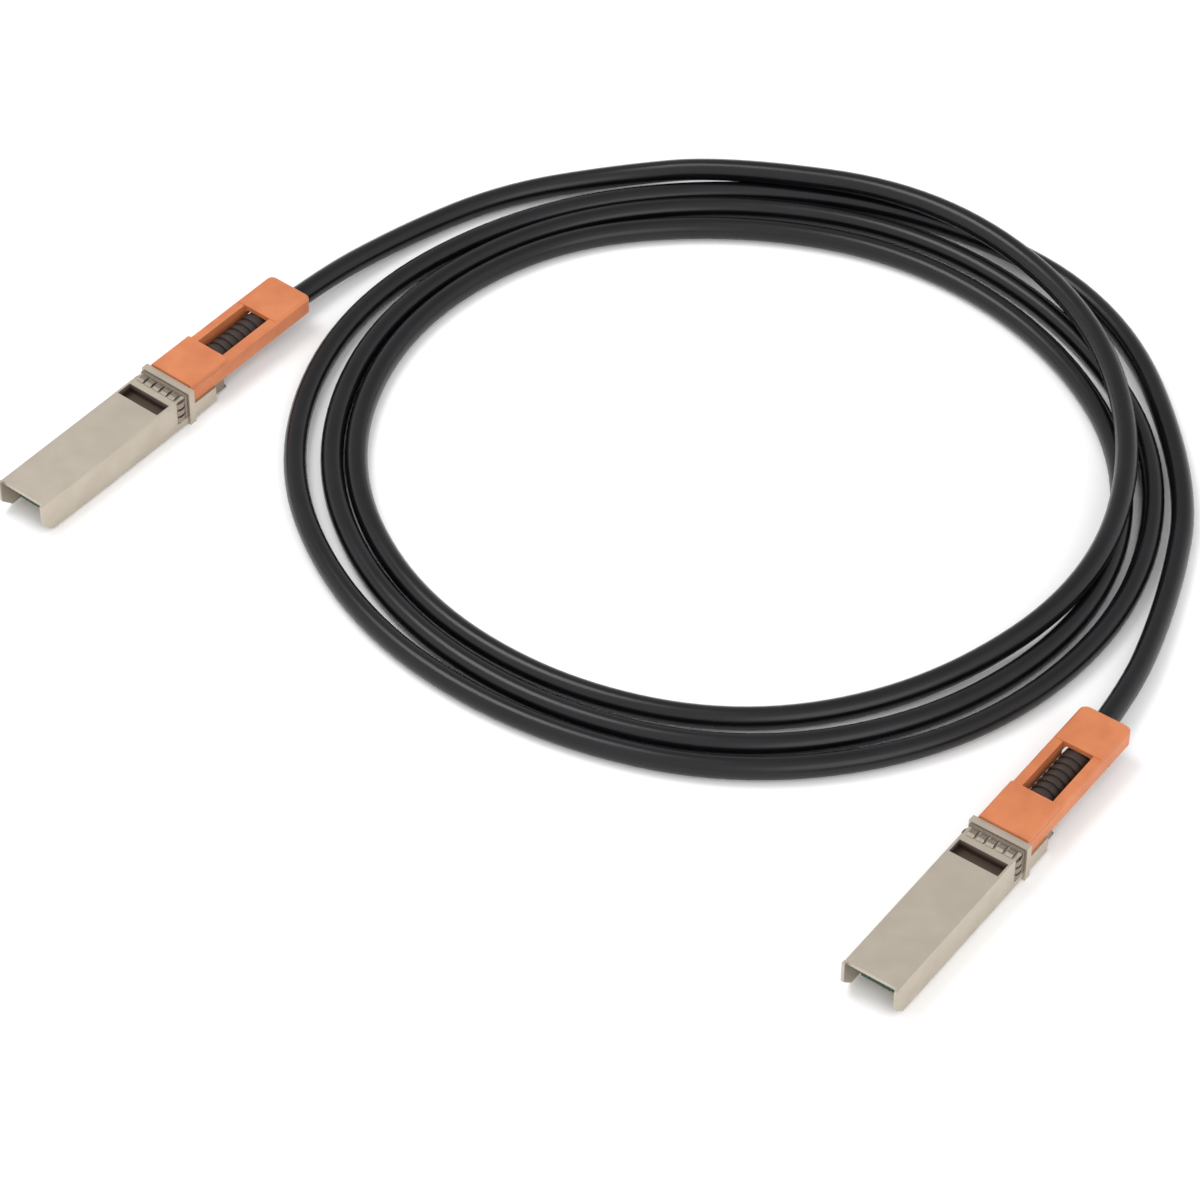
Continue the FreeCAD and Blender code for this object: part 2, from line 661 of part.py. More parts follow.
def pull_tab(node):
    """Moulded tab: a saddle over the rear rail, two side arms, and a grip arched over the cable."""
    body = new_body(node)
    add_block(body, TAB_FRONT, SADDLE_REAR, f"-{TAB_OUTER}", TAB_OUTER, TAB_BOTTOM, SADDLE_TOP)
    cut_block(body, f"{TAB_FRONT} - 1", HEEL_FRONT, f"-{TAB_INNER}", TAB_INNER,
              f"{TAB_BOTTOM} - 1", SADDLE_UNDER)
    cut_block(body, HOUSING_REAR, f"{SADDLE_REAR} + 1", f"-{HEEL_HALF}", HEEL_HALF,
              f"{TAB_BOTTOM} - 1", f"{CABLE_AXIS} + {HEEL_HALF}")
    outer, saddle_top = value(TAB_OUTER), value(SADDLE_TOP)
    dress(body, "Fillet", "tab_corner", lambda e: runs_along(e, 0) and lies_at(e, 2, saddle_top)
          and abs(abs(e.CenterOfMass.y) - outer) < 1e-4)
    for y0, y1 in each_side(f"{TAB_OUTER} - arm_thickness", TAB_OUTER):
        add_block(body, f"{SADDLE_REAR} - 0.5", GRIP_FRONT, y0, y1, TAB_BOTTOM,
                  f"{TAB_BOTTOM} + arm_height")
    add_block(body, GRIP_FRONT, GRIP_REAR, f"-{TAB_OUTER}", TAB_OUTER, TAB_BOTTOM, GRIP_TOP)
    add_block(body, LUG_FRONT, LUG_REAR, "-(pocket_width / 2 - 0.25)", "pocket_width / 2 - 0.25",
              f"{POCKET_FLOOR} + 0.05", SADDLE_UNDER)
    arch = new_sketch(body, "YZ_Plane", GRIP_REAR)
    half, bevel = "grip_channel_width / 2", "grip_channel_corner"
    right = [(half, f"{TAB_BOTTOM} - 1"), (half, f"{GRIP_UNDER} - {bevel}"),
             (f"{half} - {bevel}", GRIP_UNDER)]
    draw_polygon(arch, right + [(f"-({y})", z) for y, z in reversed(right)])
    pocket(body, arch, "grip_length")
    gap = "ear_clearance"
    for y0, y1 in each_side(f"{EAR_INNER} - {gap}", f"{EAR_OUTER} + {gap}"):
        cut_block(body, f"{EAR_FRONT} - {gap}", f"{EAR_REAR} + {gap}", y0, y1,
                  f"{TAB_BOTTOM} - 1", f"{EAR_TOP} + {gap}")
    grip_rear = value(GRIP_REAR)
    dress(body, "Fillet", "grip_corner", lambda e: runs_along(e, 2) and lies_at(e, 0, grip_rear)
          and abs(abs(e.CenterOfMass.y) - outer) < 1e-4)
    grip_top, grip_front = value(GRIP_TOP), value(GRIP_FRONT)
    dress(body, "Chamfer", "grip_edge_bevel", lambda e: lies_at(e, 2, grip_top)
          and e.CenterOfMass.x > grip_front + 0.2)
    return body


# ---------------------------------------------------------------- cable

def arc_wire(points):
    """Straight runs joined by tangent arcs, each as large as its two runs allow."""
    spots = [FreeCAD.Vector(*p) for p in points]
    edges, start = [], spots[0]
    for before, corner, after in zip(spots, spots[1:], spots[2:]):
        back, ahead = (before - corner), (after - corner)
        turn = math.pi - back.getAngle(ahead)
        reach = 0.45 * min(back.Length, ahead.Length)
        radius = reach / math.tan(turn / 2)
        into = corner + back.normalize() * reach
        out = corner + ahead.normalize() * reach
        towards = (back + ahead).normalize()
        middle = corner + towards * (radius / math.cos(turn / 2) - radius)
        edges.append(Part.LineSegment(start, into).toShape())
        edges.append(Part.Arc(into, middle, out).toShape())
        start = out
        print(f"  radius {radius:.0f} mm at ({corner.x:.0f}, {corner.y:.0f}, {corner.z:.1f})")
    edges.append(Part.LineSegment(start, spots[-1]).toShape())
    return Part.Wire(edges)


def faceted_section(centre, direction, diameter, sides):
    """Flat-sided section with the round one's area, a flat side uppermost."""
    across = direction.cross(FreeCAD.Vector(0, 0, 1)).normalize()
    up = across.cross(direction)
    step = 2 * math.pi / sides
    radius = diameter / 2 * math.sqrt(step / math.sin(step))
    corners = [centre + across * (radius * math.cos(step * (i + 0.5)))
               + up * (radius * math.sin(step * (i + 0.5))) for i in range(sides)]
    return Part.makePolygon(corners + corners[:1])


def tube(points, diameter, sides):
    """Section swept along the route; its volume is compared with section times length."""
    path = arc_wire(points)
    first = path.Edges[0]
    direction = first.tangentAt(first.FirstParameter)
    outline = faceted_section(FreeCAD.Vector(*points[0]), direction, diameter, sides)
    solid = path.makePipeShell([outline], True, False)
    expected = math.pi * diameter ** 2 / 4 * path.Length
    print(f"  length {path.Length:.0f} mm, volume {solid.Volume / expected:.4f} of section x length")
    return solid


def solid_feature(node, shape):
    feature = doc.addObject("Part::Feature", node)
    feature.Label = node
    feature.Shape = shape
    return feature


def plug_point(placement, x):
    """A point on the cable's axis inside the plug, in the part's frame."""
    return tuple(placement.multVec(FreeCAD.Vector(x, 0, value(CABLE_AXIS))))


def clock_point(hour, share, height):
    """A point round the coil by the clock: twelve is +Y, three is +X."""
    angle, radius = math.radians(90 - 30 * hour), share * value("coil_outer_radius")
    return (value("coil_centre_x") + radius * math.cos(angle),
            value("coil_centre_y") + radius * math.sin(angle), height)


def cable_tail(node, placement, clock_points):
    """The stretch from the jacket's end in the plug to the coil."""
    route = [plug_point(placement, value(CABLE_START)),
             plug_point(placement, value(f"{CABLE_START} + straight_exit"))]
    route += [clock_point(hour, share, value("cable_diameter / 2")) for hour, share in clock_points]
    print(node)
    return solid_feature(node, tube(route, value("cable_diameter"), TAIL_SIDES))


def cable_coil(node):
    """Outer shape of the loose coil: a flat bevelled ring, and the turn that rides over it."""
    body = new_body("coil_ring")
    sketch = new_sketch(body, "XY_Plane", "0")
    for radius in ("coil_outer_radius", "coil_outer_radius - coil_band"):
        draw_circle(sketch, "coil_centre_x", "coil_centre_y", radius)
    pad(body, sketch, "cable_diameter")
    top = value("cable_diameter")
    dress(body, "Chamfer", "coil_edge_bevel", lambda e: lies_at(e, 2, top))
    bed = value("cable_diameter / 2")
    lift = value("cable_diameter - crossing_sink")
    route = [clock_point(*TAIL_A_POINTS[-1], bed)]
    route += [clock_point(hour, share, bed + lift * raised) for hour, share, raised in CROSSING_TURN]
    print(node)
    rider = solid_feature("coil_rider", tube(route, value("cable_diameter"), RIDER_SIDES))
    return fuse(node, [body, rider])


# ---------------------------------------------------------------- assembly

PLUG_PIECES = [housing, cover, shell_pins, paddle_card, card_contacts, memory_chip,
               twinax_pairs, wire_potting, crimp_ferrule, strain_relief, ground_collar,
               latch_slider, return_spring, pull_tab]


def plug_placement(side, heading_name):
    """Side -1 is the far left plug, +1 the near right one; both lie about the origin."""
    heading = FreeCAD.Rotation(FreeCAD.Vector(0, 0, 1), value(heading_name))
    middle = FreeCAD.Vector(side * value("coil_outer_radius - plug_inset_x"),
                            -side * value("coil_outer_radius - plug_inset_y"), 0)
    half_length = heading.multVec(FreeCAD.Vector(value(GRIP_REAR) / 2, 0, 0))
    rise = FreeCAD.Vector(0, 0, value("foot_depth"))
    return FreeCAD.Placement(middle - half_length + rise, heading)


def build_plug(letter, placement):
    pieces = []
    for make in PLUG_PIECES:
        piece = make(f"{make.__name__}_{letter}")
        pieces.append(piece)
    for piece in pieces:
        piece.Placement = placement
    return pieces


def check_objects(nodes):
    doc.recompute()
    bad = [o.Label for o in doc.Objects if "Invalid" in o.State or "Error" in o.State]
    if bad:
        raise RuntimeError(f"failed objects: {bad}")
    for node in nodes:
        if node.Shape.isNull() or not node.Shape.isValid():
            raise RuntimeError(f"bad shape: {node.Label}")


def main():
    nodes = []
    for letter, side, tail in (("a", -1, TAIL_A_POINTS), ("b", 1, TAIL_B_POINTS)):
        placement = plug_placement(side, f"heading_{letter}")
        nodes += build_plug(letter, placement)
        nodes.append(cable_tail(f"cable_tail_{letter}", placement, tail))
    nodes.append(cable_coil("cable_coil"))
    check_objects(nodes)
    os.makedirs("parts", exist_ok=True)
    for node in nodes:
        node.Shape.exportStep(f"parts/{node.Label}.step")
    print(len(nodes), "nodes")


main()
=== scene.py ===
"""Direct attach copper cable: two pluggable metal plugs with orange pull tabs on a loose coil."""
import json
import math

import bmesh
import bpy
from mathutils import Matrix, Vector


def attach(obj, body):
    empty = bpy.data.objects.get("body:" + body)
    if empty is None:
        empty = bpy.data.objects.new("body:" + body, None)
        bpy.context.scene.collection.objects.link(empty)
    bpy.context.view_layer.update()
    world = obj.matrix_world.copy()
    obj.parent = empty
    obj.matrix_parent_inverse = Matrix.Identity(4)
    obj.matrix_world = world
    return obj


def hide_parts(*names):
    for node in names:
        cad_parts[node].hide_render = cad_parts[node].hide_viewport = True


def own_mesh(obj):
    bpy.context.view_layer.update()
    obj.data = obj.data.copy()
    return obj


bl_info = {
    "name": "Direct attach cable",
    "version": (1, 0, 0),
    "blender": (4, 5, 0),
    "location": "View3D > Sidebar > Cable",
    "description": "Dresses the direct attach cable and sets up a soft studio",
    "category": "Object",
}

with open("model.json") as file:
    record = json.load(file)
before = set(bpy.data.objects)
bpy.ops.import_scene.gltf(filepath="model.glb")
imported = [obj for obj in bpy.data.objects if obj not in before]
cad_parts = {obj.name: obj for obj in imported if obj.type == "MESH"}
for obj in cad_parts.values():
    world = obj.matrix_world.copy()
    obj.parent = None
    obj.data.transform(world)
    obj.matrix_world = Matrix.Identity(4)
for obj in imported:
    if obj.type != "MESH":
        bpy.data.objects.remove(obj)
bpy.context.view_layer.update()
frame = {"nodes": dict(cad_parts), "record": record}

MM = 0.001
PLUGS = "ab"
# The mating end of each plug: where it is and which way it points.
NOSE = {mount["name"].split("_")[1]: mount for mount in frame["record"]["mounts"]
        if mount["name"].endswith("_nose")}

# ------------------------------------------------------------------ the cable's line, in mm

# The jacket starts this far behind the mating end, in the ferrule, and first runs straight.
JACKET_FROM_NOSE = 54.8
STRAIGHT_EXIT = 40.0
# The free stretches between each plug's straight exit and the coil.
TAIL_A_POINTS = [(-37.2, 129.2, 2.6), (-13.5, 144.3, 2.6), (13.4, 150.0, 3.6)]
TAIL_B_POINTS = [(141.6, 45.6, 2.6), (133.8, 7.8, 2.6)]
# The coil by the clock, one list of radii to a turn, from twelve o'clock.
COIL_CENTRE = (39.5, 52.5, 0.0)
TURNS = [
    [93.8, 94.6, 91.3, 87.6, 87.0, 80.8, 80.5, 79.5, 81.9, 85.1, 85.9, 84.1],
    [78.8, 79.7, 81.5, 86.4, 89.8, 89.2, 88.4, 86.3, 87.7, 90.5, 91.5, 89.6],
    [86.4, 87.6, 88.8, 93.6, 96.2, 96.8, 95.0, 92.4, 94.9, 99.0, 99.4, 94.8],
    [91.9, 95.0, 101.0],
]
DEGREES_PER_HOUR = 30
# A smooth line runs a little inside the points that steer it.
STEER = 1.034
# The middle of the cable lies this high, and its first turn is lifted over the others.
LYING_HEIGHT = 2.6
FIRST_TURN_LIFTS = [4.4, 6.0, 5.8, 5.6, 5.0]

# ------------------------------------------------------------------ the plugs, in mm

# The slot across the roof: distance from the mating end, half sizes, and the heights between
# which painted shade fills it: full below the first, fading out to none at the second.
SLOT_MIDDLE, SLOT_HALF_LENGTH, SLOT_HALF_WIDTH = 40.2, 2.05, 6.05
SLOT_SHADE_FULL_BELOW, SLOT_SHADE_NONE_ABOVE = 7.4, 8.9
# Rounded edges, on corners sharper than the angle.
SHELL_ROUND, TAB_ROUND = 0.12, 0.25
SHELL_ROUND_STEPS, TAB_ROUND_STEPS = 2, 3
CORNER_ANGLE = math.radians(40)
# The strain relief's outline: distance behind the mating end, half height and half width. Its
# end is flattened to pass under the pull tab's grip.
RELIEF_START = [(56.9, 2.7, 2.7), (56.9, 3.45, 3.45), (58.4, 3.5, 3.5)]
RELIEF_END = [(77.9, 3.45, 3.55), (78.3, 2.9, 3.6), (79.6, 2.86, 3.55), (81.6, 2.8, 3.2),
              (82.0, 2.7, 2.9), (82.0, 2.5, 2.5)]
RELIEF_RINGS, RING_PITCH = 9, 2.1
# One groove and the ring behind it: distance from the groove's start, radius.
RELIEF_RING = [(0.1, 3.05), (0.7, 3.05), (0.85, 3.42), (1.0, 3.5), (2.0, 3.5)]
RELIEF_SIDES = 40
RELIEF_CREASE = math.radians(35)

# ------------------------------------------------------------------ the stage

FLOOR_HALF_SIZE = 6.0
# The camera looks down at 45 degrees through a long lens; sizes and places in mm.
CAMERA_PLACE = (9.5, -749.7, 760.1)
CAMERA_AIM = (9.5, 10.4, 0.0)
LENS, SENSOR_WIDTH = 147.3, 36.0
# The nearest and farthest things it shows, in metres.
CLIP_NEAR, CLIP_FAR = 0.05, 20.0
# Round soft lights: share of the key light's power, diameter and place in metres.
LIGHTS = {"overhead": (1.0, 0.6, (-0.42, 0.27, 1.1)),
          "front_fill": (0.6, 0.9, (0.5, -0.9, 0.7))}
LIGHT_AIM = (0.0, 0.02, 0.0)
# The room is darker high up behind the part, which keeps flat metal from looking white. It dims
# between two cosines to that side.
DIM_SIDE = (0.0, 0.71, 0.71)
DIM_STARTS_AT, DIM_FULL_AT = 0.45, 0.9
ROOM_LIGHT, DIM_LIGHT = 1.15, 0.6


# ------------------------------------------------------------------ small helpers

def linear(hex_colour):
    """sRGB hex to a linear colour with alpha."""
    parts = [int(hex_colour[i:i + 2], 16) / 255 for i in (1, 3, 5)]
    return [c / 12.92 if c <= 0.04045 else ((c + 0.055) / 1.055) ** 2.4 for c in parts] + [1.0]


def per_mm(size):
    """Pattern scale for features of this size in millimetres."""
    return 1.0 / (size * MM)


def add_node(tree, kind, values=(), takes=(), feeds=(), stops=(), **settings):
    """Add a node with its settings, values and links.

    values and takes are keyed by an input's name or number: values hold what it is set to, takes
    the output that feeds it. feeds is keyed by output and holds the input that it goes on to.
    stops are a colour ramp's positions and colours.
    """
    node = tree.nodes.new(kind)
    for name, setting in settings.items():
        setattr(node, name, setting)
    for socket, value in dict(values).items():
        node.inputs[socket].default_value = value
    for socket, source in dict(takes).items():
        tree.links.new(source, node.inputs[socket])
    for socket, target in dict(feeds).items():
        tree.links.new(node.outputs[socket], target)
    if stops:
        for element, (position, colour) in zip(node.color_ramp.elements, stops):
            element.position, element.color = position, colour
    return node


def new_material(name, colour, values):
    """A material, its nodes and its shader, which holds the values that are uniform."""
    material = bpy.data.materials.new(name)
    material.use_nodes = True
    material.diffuse_color = colour
    shader = material.node_tree.nodes["Principled BSDF"]
    shader.inputs["Base Color"].default_value = colour
    for socket, value in values.items():
        shader.inputs[socket].default_value = value
    return material, material.node_tree, shader


def plug_point(letter, distance_mm):
    """A point on the plug's axis, this far behind its mating end."""
    return Vector(NOSE[letter]["pos_m"]) - Vector(NOSE[letter]["axis"]) * (distance_mm * MM)


def both(name):
    """The node of this name on both plugs."""
    return [frame["nodes"][f"{name}_{letter}"] for letter in PLUGS]


def coat(material, *pieces):
    """Give pieces their material."""
    for piece in pieces:
        piece.data.materials.clear()
        piece.data.materials.append(material)


def round_edges(pieces, width_mm, steps):
    """Round the corners of pieces a little, as moulding and tumbling leave them."""
    for piece in pieces:
        edge = piece.modifiers.new("edge_round", "BEVEL")
        edge.width, edge.segments = width_mm * MM, steps
        edge.limit_method, edge.angle_limit = "ANGLE", CORNER_ANGLE


# ------------------------------------------------------------------ sizes and colours

class CableSettings(bpy.types.PropertyGroup):
    diameter: bpy.props.FloatProperty(
        name="Cable diameter", description="Outside diameter of the jacket",
        default=5.2 * MM, min=1.0 * MM, unit="LENGTH")
    length: bpy.props.FloatProperty(
        name="Cable length", description="Length of the cable between the two ferrules",
        default=2.10, min=0.1, unit="LENGTH")
    jacket_dark: bpy.props.FloatVectorProperty(
        name="Jacket, darker", description="Darker shade of the cable's jacket",
        subtype="COLOR", size=4, default=linear("#08080A"), min=0.0, max=1.0)
    jacket_light: bpy.props.FloatVectorProperty(
        name="Jacket, lighter", description="Lighter shade of the cable's jacket",
        subtype="COLOR", size=4, default=linear("#0E0E12"), min=0.0, max=1.0)
    relief_dark: bpy.props.FloatVectorProperty(
        name="Strain relief, darker", description="Darker shade of the ringed strain reliefs",
        subtype="COLOR", size=4, default=linear("#261A14"), min=0.0, max=1.0)
    relief_light: bpy.props.FloatVectorProperty(
        name="Strain relief, lighter", description="Lighter shade of the ringed strain reliefs",
        subtype="COLOR", size=4, default=linear("#30211A"), min=0.0, max=1.0)


class PlugSettings(bpy.types.PropertyGroup):
    plating_dark: bpy.props.FloatVectorProperty(
        name="Plating, darker", description="Darker shade of the plated shells",
        subtype="COLOR", size=4, default=linear("#BBB1A2"), min=0.0, max=1.0)
    plating_light: bpy.props.FloatVectorProperty(
        name="Plating, lighter", description="Lighter shade of the plated shells",
        subtype="COLOR", size=4, default=linear("#C2B9AB"), min=0.0, max=1.0)
    # Painted shade for the roof's slot: a dark brown in place of the shade that falls in it.
    slot_painted_shade: bpy.props.FloatVectorProperty(
        name="Slot", description="Colour of the painted shade in the roof's slot",
        subtype="COLOR", size=4, default=linear("#61534B"), min=0.0, max=1.0)
    tab_dark: bpy.props.FloatVectorProperty(
        name="Pull tab, darker", description="Darker shade of the pull tabs",
        subtype="COLOR", size=4, default=linear("#BE6E43"), min=0.0, max=1.0)
    tab_light: bpy.props.FloatVectorProperty(
        name="Pull tab, lighter", description="Lighter shade of the pull tabs",
        subtype="COLOR", size=4, default=linear("#CC7B4D"), min=0.0, max=1.0)


class StudioSettings(bpy.types.PropertyGroup):
    floor_colour: bpy.props.FloatVectorProperty(
        name="Floor colour", description="Colour of the plain floor",
        subtype="COLOR", size=4, default=linear("#FFFFFF"), min=0.0, max=1.0)
    key_power: bpy.props.FloatProperty(
        name="Key light power", description="Power of the large overhead light",
        default=4.6, min=0.0, subtype="POWER")


# ------------------------------------------------------------------ materials

def slot_shade_mask(tree, where, letter):
    """Where painted shade goes in the roof's slot: how deep a point lies in it, from 0 at the rim
    or outside it to 1 inside.
    """
    nose = NOSE[letter]
    heading = math.atan2(-nose["axis"][1], -nose["axis"][0])
    in_plug = add_node(tree, "ShaderNodeMapping",
                       {"Location": (nose["pos_m"][0], nose["pos_m"][1], 0.0),
                        "Rotation": (0.0, 0.0, heading)},
                       {"Vector": where}, vector_type="TEXTURE")
    place = add_node(tree, "ShaderNodeSeparateXYZ", takes={"Vector": in_plug.outputs["Vector"]})
    along = add_node(tree, "ShaderNodeMath", {1: SLOT_MIDDLE * MM, 2: SLOT_HALF_LENGTH * MM},
                     {0: place.outputs["X"]}, operation="COMPARE")
    across = add_node(tree, "ShaderNodeMath", {1: 0.0, 2: SLOT_HALF_WIDTH * MM},
                      {0: place.outputs["Y"]}, operation="COMPARE")
    inside = add_node(tree, "ShaderNodeMath", operation="MULTIPLY",
                      takes={0: along.outputs["Value"], 1: across.outputs["Value"]})
    deep = add_node(tree, "ShaderNodeMapRange",
                    {"From Min": SLOT_SHADE_FULL_BELOW * MM, "From Max": SLOT_SHADE_NONE_ABOVE * MM,
                     "To Min": 1.0, "To Max": 0.0},
                    {"Value": place.outputs["Z"]})
    return add_node(tree, "ShaderNodeMath", operation="MULTIPLY",
                    takes={0: inside.outputs["Value"], 1: deep.outputs["Result"]}).outputs["Value"]


def cast_shell(letter, settings):
    """Nickel-plated zinc die casting: warm grey, faint flow marks, a tumbled matt grain.

    The slot across the roof gets painted shade, a dark brown that deepens towards its floor. The
    tumbled grain is about a tenth of a millimetre, and is drawn three times as coarse so that it
    shows.
    """
    material, tree, shader = new_material(f"plated_die_casting_{letter}", settings.plating_light,
                                          {"Metallic": 0.85})
    where = add_node(tree, "ShaderNodeTexCoord").outputs["Object"]
    grain = add_node(tree, "ShaderNodeTexNoise", {"Scale": per_mm(0.35), "Detail": 3.0},
                     {"Vector": where})
    flow = add_node(tree, "ShaderNodeTexNoise", {"Scale": per_mm(5.0), "Detail": 3.0},
                    {"Vector": where})
    plating = add_node(tree, "ShaderNodeValToRGB", takes={"Fac": flow.outputs["Fac"]},
                       stops=[(0.3, settings.plating_dark), (0.7, settings.plating_light)])
    # Painted shade: the slot's dark brown mixed over the plating, deepest towards the slot's floor.
    add_node(tree, "ShaderNodeMixRGB", {"Color2": settings.slot_painted_shade},
             {"Fac": slot_shade_mask(tree, where, letter), "Color1": plating.outputs["Color"]},
             {"Color": shader.inputs["Base Color"]})
    add_node(tree, "ShaderNodeMapRange", {"To Min": 0.4, "To Max": 0.54},
             {"Value": grain.outputs["Fac"]}, {"Result": shader.inputs["Roughness"]})
    add_node(tree, "ShaderNodeBump", {"Strength": 0.4, "Distance": 0.015 * MM},
             {"Height": grain.outputs["Fac"]}, {"Normal": shader.inputs["Normal"]})
    return material


def spring_strip():
    """Stamped stainless strip: darker than the shells, with soft streaks from rolling.

    The rolling marks are finer than a tenth of a millimetre, and are drawn coarser to show.
    """
    material, tree, shader = new_material("rolled_stainless_strip", linear("#93887C"),
                                          {"Metallic": 0.9, "Roughness": 0.38})
    where = add_node(tree, "ShaderNodeTexCoord").outputs["Object"]
    rolled = add_node(tree, "ShaderNodeMapping", {"Scale": (1.0, 1.0, 8.0)}, {"Vector": where})
    streaks = add_node(tree, "ShaderNodeTexNoise", {"Scale": per_mm(0.5), "Detail": 2.0},
                       {"Vector": rolled.outputs["Vector"]})
    add_node(tree, "ShaderNodeValToRGB", takes={"Fac": streaks.outputs["Fac"]},
             feeds={"Color": shader.inputs["Base Color"]},
             stops=[(0.3, linear("#8A7F73")), (0.7, linear("#9C9185"))])
    add_node(tree, "ShaderNodeBump", {"Strength": 0.4, "Distance": 0.01 * MM},
             {"Height": streaks.outputs["Fac"]}, {"Normal": shader.inputs["Normal"]})
    return material


def tab_plastic(settings):
    """Moulded orange elastomer: satin and a little translucent, with a spark-eroded grain.

    The mould's grain is under a tenth of a millimetre, and is drawn three times as coarse so
    that it shows.
    """
    material, tree, shader = new_material("moulded_orange_elastomer", settings.tab_light,
                                          {"Roughness": 0.5, "Subsurface Weight": 0.12,
                                           "Subsurface Radius": (1.0, 0.45, 0.2),
                                           "Subsurface Scale": 1.2 * MM})
    where = add_node(tree, "ShaderNodeTexCoord").outputs["Object"]
    cloud = add_node(tree, "ShaderNodeTexNoise", {"Scale": per_mm(6.0), "Detail": 2.0},
                     {"Vector": where})
    grain = add_node(tree, "ShaderNodeTexNoise", {"Scale": per_mm(0.3), "Detail": 2.0},
                     {"Vector": where})
    add_node(tree, "ShaderNodeValToRGB", takes={"Fac": cloud.outputs["Fac"]},
             feeds={"Color": shader.inputs["Base Color"]},
             stops=[(0.3, settings.tab_dark), (0.7, settings.tab_light)])
    add_node(tree, "ShaderNodeBump", {"Strength": 0.6, "Distance": 0.03 * MM},
             {"Height": grain.outputs["Fac"]}, {"Normal": shader.inputs["Normal"]})
    return material


def cable_jacket(settings):
    """Extruded black PVC: satin, with a gloss that varies a little along the run.

    The extruded skin's grain is under a tenth of a millimetre, and is drawn coarser to show.
    """
    material, tree, shader = new_material("extruded_black_jacket", settings.jacket_light,
                                          {"Specular IOR Level": 0.36})
    where = add_node(tree, "ShaderNodeTexCoord").outputs["Object"]
    cloud = add_node(tree, "ShaderNodeTexNoise", {"Scale": per_mm(14.0), "Detail": 2.0},
                     {"Vector": where})
    grain = add_node(tree, "ShaderNodeTexNoise", {"Scale": per_mm(0.4), "Detail": 3.0},
                     {"Vector": where})
    add_node(tree, "ShaderNodeValToRGB", takes={"Fac": cloud.outputs["Fac"]},
             feeds={"Color": shader.inputs["Base Color"]},
             stops=[(0.3, settings.jacket_dark), (0.7, settings.jacket_light)])
    add_node(tree, "ShaderNodeMapRange", {"To Min": 0.2, "To Max": 0.32},
             {"Value": cloud.outputs["Fac"]}, {"Result": shader.inputs["Roughness"]})
    add_node(tree, "ShaderNodeBump", {"Strength": 0.5, "Distance": 0.02 * MM},
             {"Height": grain.outputs["Fac"]}, {"Normal": shader.inputs["Normal"]})
    return material


def relief_rubber(settings):
    """Moulded brown-black elastomer: matt, with the mould's fine grain drawn coarser to show."""
    material, tree, shader = new_material("moulded_brown_black_elastomer", settings.relief_light,
                                          {"Roughness": 0.6})
    where = add_node(tree, "ShaderNodeTexCoord").outputs["Object"]
    grain = add_node(tree, "ShaderNodeTexNoise", {"Scale": per_mm(0.35), "Detail": 2.0},
                     {"Vector": where})
    add_node(tree, "ShaderNodeValToRGB", takes={"Fac": grain.outputs["Fac"]},
             feeds={"Color": shader.inputs["Base Color"]},
             stops=[(0.3, settings.relief_dark), (0.7, settings.relief_light)])
    add_node(tree, "ShaderNodeBump", {"Strength": 0.5, "Distance": 0.03 * MM},
             {"Height": grain.outputs["Fac"]}, {"Normal": shader.inputs["Normal"]})
    return material


def circuit_board():
    """Glass-epoxy laminate under green solder mask: glossy, the weave just showing through."""
    material, tree, shader = new_material("green_solder_mask", linear("#16402B"),
                                          {"Roughness": 0.3})
    where = add_node(tree, "ShaderNodeTexCoord").outputs["Object"]
    # The bands of this pattern are about a third of its size: a glass yarn's 1 mm.
    weave = add_node(tree, "ShaderNodeTexWave", {"Scale": per_mm(3.0), "Distortion": 0.5},
                     {"Vector": where})
    add_node(tree, "ShaderNodeValToRGB", takes={"Fac": weave.outputs["Fac"]},
             feeds={"Color": shader.inputs["Base Color"]},
             stops=[(0.0, linear("#143A28")), (1.0, linear("#1A4A35"))])
    return material


def small_metal(name, dark, light, roughness):
    """Turned, plated or wrapped small metal part: bright, its fine tool marks drawn coarser."""
    material, tree, shader = new_material(name, linear(light),
                                          {"Metallic": 0.95, "Roughness": roughness})
    where = add_node(tree, "ShaderNodeTexCoord").outputs["Object"]
    grain = add_node(tree, "ShaderNodeTexNoise", {"Scale": per_mm(0.4), "Detail": 2.0},
                     {"Vector": where})
    add_node(tree, "ShaderNodeValToRGB", takes={"Fac": grain.outputs["Fac"]},
             feeds={"Color": shader.inputs["Base Color"]},
             stops=[(0.3, linear(dark)), (0.7, linear(light))])
    add_node(tree, "ShaderNodeBump", {"Strength": 0.3, "Distance": 0.01 * MM},
             {"Height": grain.outputs["Fac"]}, {"Normal": shader.inputs["Normal"]})
    return material


def small_resin(name, dark, light, roughness):
    """Moulded or poured resin: satin, faintly mottled and a little uneven."""
    material, tree, shader = new_material(name, linear(light), {"Roughness": roughness})
    where = add_node(tree, "ShaderNodeTexCoord").outputs["Object"]
    cloud = add_node(tree, "ShaderNodeTexNoise", {"Scale": per_mm(1.5), "Detail": 3.0},
                     {"Vector": where})
    add_node(tree, "ShaderNodeValToRGB", takes={"Fac": cloud.outputs["Fac"]},
             feeds={"Color": shader.inputs["Base Color"]},
             stops=[(0.3, linear(dark)), (0.7, linear(light))])
    add_node(tree, "ShaderNodeBump", {"Strength": 0.4, "Distance": 0.03 * MM},
             {"Height": cloud.outputs["Fac"]}, {"Normal": shader.inputs["Normal"]})
    return material


# ------------------------------------------------------------------ the cable

